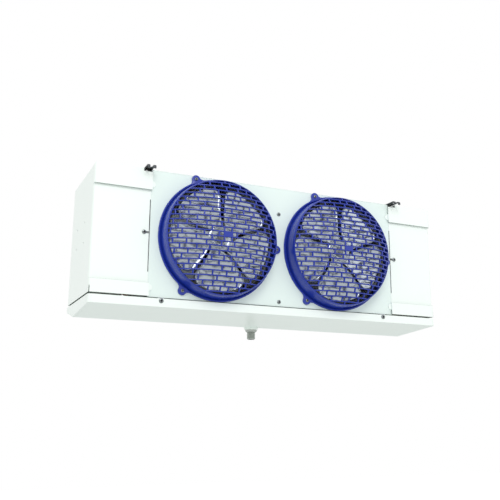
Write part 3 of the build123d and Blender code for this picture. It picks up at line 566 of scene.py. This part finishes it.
screw_rows = (
    ("panel_screw_pair", "panel_screws", "cabinet", 6.0, 10.0),
    ("cover_screw_pair", "cover_screws", "cabinet", 6.2, 12.0),
    ("pan_screw_pair", "pan_screws", "drain_pan", 6.8, 10.0),
)
screw_finishes = [screw_metal, recess_shade_metal]
for name, node_name, body, head, length in screw_rows:
    low, high = (Vector(corner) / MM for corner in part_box(node_name))
    screw_shape = bmesh.new()
    for x, z in zip(row_ends(low.x, high.x, head), row_ends(low.z, high.z, head)):
        screw(screw_shape, x, low.y + SCREW_RISE, z, head, SHANK, length)
    piece(name, screw_shape, screw_finishes, body, [node_name], 25)

# %% [markdown]
# The guards' screws sit on the ears, so they use the ears' own circle and angles.
# %% Screws of the guards
GUARD_SCREW_HEAD, GUARD_SHANK, GUARD_SCREW_LENGTH = 5.0, 2.3, 5.5
guard_screw_shape = bmesh.new()
for axis in (fan_axes[name] / MM for name in ("fan_left", "fan_right")):
    for angle in ear_angles:
        turn = math.radians(angle)
        x = axis.x + EAR_CIRCLE * math.cos(turn)
        z = axis.z + EAR_CIRCLE * math.sin(turn)
        screw(guard_screw_shape, x, panel_mm - EAR_HEIGHT, z,
              GUARD_SCREW_HEAD, GUARD_SHANK, GUARD_SCREW_LENGTH)
piece("guard_screw_set", guard_screw_shape, screw_finishes, "cabinet", ["guard_screws"], 25)

# %% [markdown]
# ## The drain fitting
# A hexagonal collar seals against the underside of the pan, and a plated nipple with a pipe thread
# hangs below it. The thread is a stack of rings whose radius goes in and out once per turn; at this
# distance that looks the same as a helix.
# %% Hexagon and thread
low, high = (Vector(corner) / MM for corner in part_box("drain_fitting"))
drain_x, drain_y, drain_end = (low.x + high.x) / 2, (low.y + high.y) / 2, low.z
COLLAR_ACROSS, COLLAR_TALL, NIPPLE, NIPPLE_BORE = 41.0, 9.0, 13.3, 9.5
THREAD_PITCH, THREAD_ROOT = 1.9, 12.5
seat_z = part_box("drain_pan")[0][2] / MM


def hexagon(across, corner_limit, steps=48):
    points = []
    for step in range(steps):
        angle = math.tau * step / steps
        fold = math.radians(30) - (angle % math.radians(60))
        radius = min(across / 2 / math.cos(fold), corner_limit)
        points.append((radius * math.cos(angle), radius * math.sin(angle)))
    return points


def level_ring(points, z):
    return [(drain_x + a, drain_y + b, z) for a, b in points]


drain_shape = bmesh.new()
collar_low = seat_z - COLLAR_TALL
collar = [(hexagon(COLLAR_ACROSS, 21.5), seat_z), (hexagon(COLLAR_ACROSS, 23.3), seat_z - 1.2),
          (hexagon(COLLAR_ACROSS, 23.3), seat_z - 5.2), (hexagon(COLLAR_ACROSS - 2, 21.2), seat_z - 6.0),
          (circle(17.0, 48), seat_z - 6.1)]
skin(drain_shape, [level_ring(points, z) for points, z in collar])
thread = [(18.6, seat_z - 6.0), (18.6, collar_low), (17.0, collar_low - 3.0), (14.4, collar_low - 4.6)]
turns = int((collar_low - 6.0 - drain_end) / THREAD_PITCH)
for turn in range(turns):
    top = collar_low - 5.0 - turn * THREAD_PITCH
    thread += [(THREAD_ROOT, top), (NIPPLE, top - THREAD_PITCH / 2)]
thread += [(12.0, drain_end + 0.4), (11.2, drain_end), (NIPPLE_BORE, drain_end),
           (NIPPLE_BORE, high.z), (12.8, high.z)]
skin(drain_shape, [level_ring(circle(radius, 48), z) for radius, z in thread], closed=True, finish=1)
drain_finishes = [cover_coat, nipple_metal]
piece("drain_nipple", drain_shape, drain_finishes, "drain_pan", ["drain_fitting"])

# %% [markdown]
# ## The coil
# The coil is a block of copper tubes pushed through thin aluminium fins, about 6 mm apart. Such
# fins are a fraction of a millimetre thick; here they are drawn at 0.6 mm so that their edges
# still show. The tubes cross the block in two columns.
# %% Fins and tubes
def box(shape, low_corner, high_corner):
    (x0, y0, z0), (x1, y1, z1) = low_corner, high_corner
    skin(shape, [[(x, y0, z0), (x, y1, z0), (x, y1, z1), (x, y0, z1)] for x in (x0, x1)])


coil_low, coil_high = (Vector(corner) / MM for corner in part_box("coil_fins"))
FIN_PITCH, FIN_THICK, TUBE = 6.0, 0.6, 4.8
TUBE_ROWS, TUBE_DEPTHS = 6, (18.0, 48.0)
fin_total = int((coil_high.x - coil_low.x) / FIN_PITCH)
fin_shape = bmesh.new()
for number in range(fin_total + 1):
    x = coil_low.x + FIN_THICK / 2 + number * (coil_high.x - coil_low.x - FIN_THICK) / fin_total
    fin_low = (x - FIN_THICK / 2, coil_low.y, coil_low.z)
    fin_high = (x + FIN_THICK / 2, coil_high.y, coil_high.z)
    box(fin_shape, fin_low, fin_high)
tube_pitch = (coil_high.z - coil_low.z) / TUBE_ROWS
for row in range(TUBE_ROWS):
    for depth in TUBE_DEPTHS:
        z = coil_low.z + tube_pitch * (row + 0.5)
        rings = [[(x, coil_low.y + depth + a, z + b) for a, b in circle(TUBE, 12)]
                 for x in (coil_low.x, coil_high.x)]
        skin(fin_shape, rings, finish=1)
piece("coil_block", fin_shape, [fin_metal, copper_metal], "cabinet", ["coil_fins"])

# %% [markdown]
# ## Copper pipework
# A tube bender leaves round bends of even thickness, so each pipe is a circle carried along a path.
# The return bends are half circles outside the end plates.
# %% Bent tubes
def tube(shape, path, radius, steps=12):
    """Carries a circle along a path of points, turning it with the path."""
    points = [Vector(point) for point in path]
    rings = []
    side_axis = None
    for index, point in enumerate(points):
        ahead = points[min(index + 1, len(points) - 1)] - points[max(index - 1, 0)]
        ahead.normalize()
        if side_axis is None:
            side_axis = ahead.orthogonal().normalized()
        side_axis = (side_axis - ahead * side_axis.dot(ahead)).normalized()
        other = ahead.cross(side_axis)
        rings.append([point + side_axis * a + other * b for a, b in circle(radius, steps)])
    skin(shape, rings)


def rounded(corners, radius):
    """A path with each corner replaced by a smooth bend."""
    points = [Vector(corner) for corner in corners]
    path = [points[0]]
    for before, corner, after in zip(points, points[1:], points[2:]):
        start = corner + (before - corner).normalized() * radius
        end = corner + (after - corner).normalized() * radius
        for step in range(9):
            t = step / 8
            path.append(start * (1 - t) ** 2 + corner * 2 * t * (1 - t) + end * t * t)
    path.append(points[-1])
    return path


bend_low, bend_high = (Vector(corner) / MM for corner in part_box("return_bends"))
bend_shape = bmesh.new()
bend_y = (bend_low.y + bend_high.y) / 2
bend_rise = tube_pitch / 2
PLATE_GAP, BEND_STRAIGHT = 1.8, 6
plate_out = max(abs(coil_low.x), abs(coil_high.x)) + PLATE_GAP
for sign, rows in ((-1, (1, 3, 5)), (1, (2, 4))):
    for row in rows:
        z = coil_low.z + tube_pitch * row
        start = sign * plate_out
        path = [(start, bend_y, z - bend_rise)]
        for step in range(17):
            turn = math.pi * (step / 16 - 0.5)
            x = start + sign * (BEND_STRAIGHT + bend_rise * math.cos(turn))
            path.append((x, bend_y, z + bend_rise * math.sin(turn)))
        path.append((start, bend_y, z + bend_rise))
        tube(bend_shape, path, TUBE, 16)
piece("return_bend_set", bend_shape, [copper_metal], "cabinet", ["return_bends"])

# %% [markdown]
# The feeder tubes are thin capillaries. They leave the distributor towards the fans, drop or rise
# to their rows, and run back to the end plate.
# %% Feeder tubes
feeder_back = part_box("feeder_tubes")[1][1] / MM
dist_low, dist_high = (Vector(corner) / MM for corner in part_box("distributor"))
dist_x, dist_z = (dist_low.x + dist_high.x) / 2, (dist_low.z + dist_high.z) / 2
FEEDER, FEEDER_BEND, FEEDER_FRONT = 2.4, 14.0, 38.0
feeder_shape = bmesh.new()
for drop, spread in ((-170.0, -6.0), (-60.0, 0.0), (50.0, 6.0)):
    x, z = dist_x + spread, dist_z + drop
    front, back = dist_low.y - FEEDER_FRONT + spread, feeder_back - FEEDER
    corners = [(x, dist_low.y, dist_z), (x, front, dist_z), (x, front, z), (x, back, z),
               (plate_out, back, z)]
    tube(feeder_shape, rounded(corners, FEEDER_BEND), FEEDER)
piece("feeder_tube_set", feeder_shape, [copper_metal], "cabinet", ["feeder_tubes"])

# %% [markdown]
# ## Floor, light and camera
# A studio for a white product needs light from everywhere: a pale world gives that, and two wide
# lamps shape the front. The camera, and rays that mirror or pass through, meet a pure white
# background instead, so metal shows it too.
# %% World
world = bpy.data.worlds.new("studio_world")
bpy.context.scene.world = world
world.use_nodes = True
sky = world.node_tree
sky.nodes.clear()
path = add(sky, "ShaderNodeLightPath")
seen = add(sky, "ShaderNodeMath", {0: (path, "Is Camera Ray"), 1: (path, "Is Glossy Ray")},
           operation="MAXIMUM")
clear = add(sky, "ShaderNodeMath", {0: (seen, "Value"), 1: (path, "Is Transmission Ray")},
            operation="MAXIMUM")
fill = add(sky, "ShaderNodeBackground", {"Color": (0.985, 1.0, 0.995, 1.0), "Strength": 0.94})
backdrop = add(sky, "ShaderNodeBackground", {"Color": (1.0, 1.0, 1.0, 1.0), "Strength": 1.0})
chooser = add(sky, "ShaderNodeMixShader",
              {0: (clear, "Value"), 1: (fill, "Background"), 2: (backdrop, "Background")})
add(sky, "ShaderNodeOutputWorld", {"Surface": (chooser, "Shader")})

# %% [markdown]
# The floor lies well below the cooler, and it glows a little for the camera alone, so that it
# reads white while its own tone stays low enough to leave the pan's underside in shade.
# %% Floor
FLOOR_DROP, FLOOR_SIZE = 1.6, 12.0


def pale_floor(height, size):
    mesh = bpy.data.meshes.new("floor")
    corners = [(x * size, y * size, height) for x, y in ((-1, -1), (1, -1), (1, 1), (-1, 1))]
    mesh.from_pydata(corners, [], [(0, 1, 2, 3)])
    floor = bpy.data.objects.new("floor", mesh)
    bpy.context.collection.objects.link(floor)
    material, tree, output, _ = new_material("white_studio_floor")
    rays = add(tree, "ShaderNodeLightPath")
    matte = add(tree, "ShaderNodeBsdfDiffuse", {"Color": linear("#E2E4E3")})
    glow = add(tree, "ShaderNodeEmission", {"Color": (1.0, 1.0, 1.0, 1.0), "Strength": 0.6})
    both = add(tree, "ShaderNodeAddShader", {0: (matte, "BSDF"), 1: (glow, "Emission")})
    pick = add(tree, "ShaderNodeMixShader",
               {0: (rays, "Is Camera Ray"), 1: (matte, "BSDF"), 2: (both, "Shader")})
    tree.links.new(pick.outputs["Shader"], output.inputs["Surface"])
    mesh.materials.append(material)


floor_height = cad_box[0][2] - FLOOR_DROP
pale_floor(floor_height, FLOOR_SIZE)
print("floor at", round(floor_height, 3), "m")

# %% Lamps
def lamp(name, place, target, size, power):
    light = bpy.data.lights.new(name, "AREA")
    light.shape = "DISK"
    light.size = size
    light.energy = power
    item = bpy.data.objects.new(name, light)
    item.location = place
    item.rotation_euler = (Vector(target) - Vector(place)).to_track_quat("-Z", "Y").to_euler()
    bpy.context.collection.objects.link(item)


middle = (Vector(cad_box[0]) + Vector(cad_box[1])) / 2
lamp("front_lamp", (-0.9, -3.2, 1.7), middle, 1.8, 40)
lamp("side_lamp", (2.4, -2.2, 0.6), middle, 1.6, 3)
print("lamps aim at", [round(value, 3) for value in middle])

# %% Camera
camera_data = bpy.data.cameras.new("camera")
camera_data.sensor_width = 36.0
camera_data.lens = 51.05
camera = bpy.data.objects.new("camera", camera_data)
camera.location = (-0.9365, -2.0004, -0.6805)
camera.rotation_euler = [math.radians(angle) for angle in (103.060, -0.322, -24.415)]
bpy.context.collection.objects.link(camera)
bpy.context.scene.camera = camera
bpy.context.scene.view_settings.view_transform = "Standard"
print("camera lens:", camera_data.lens, "mm")
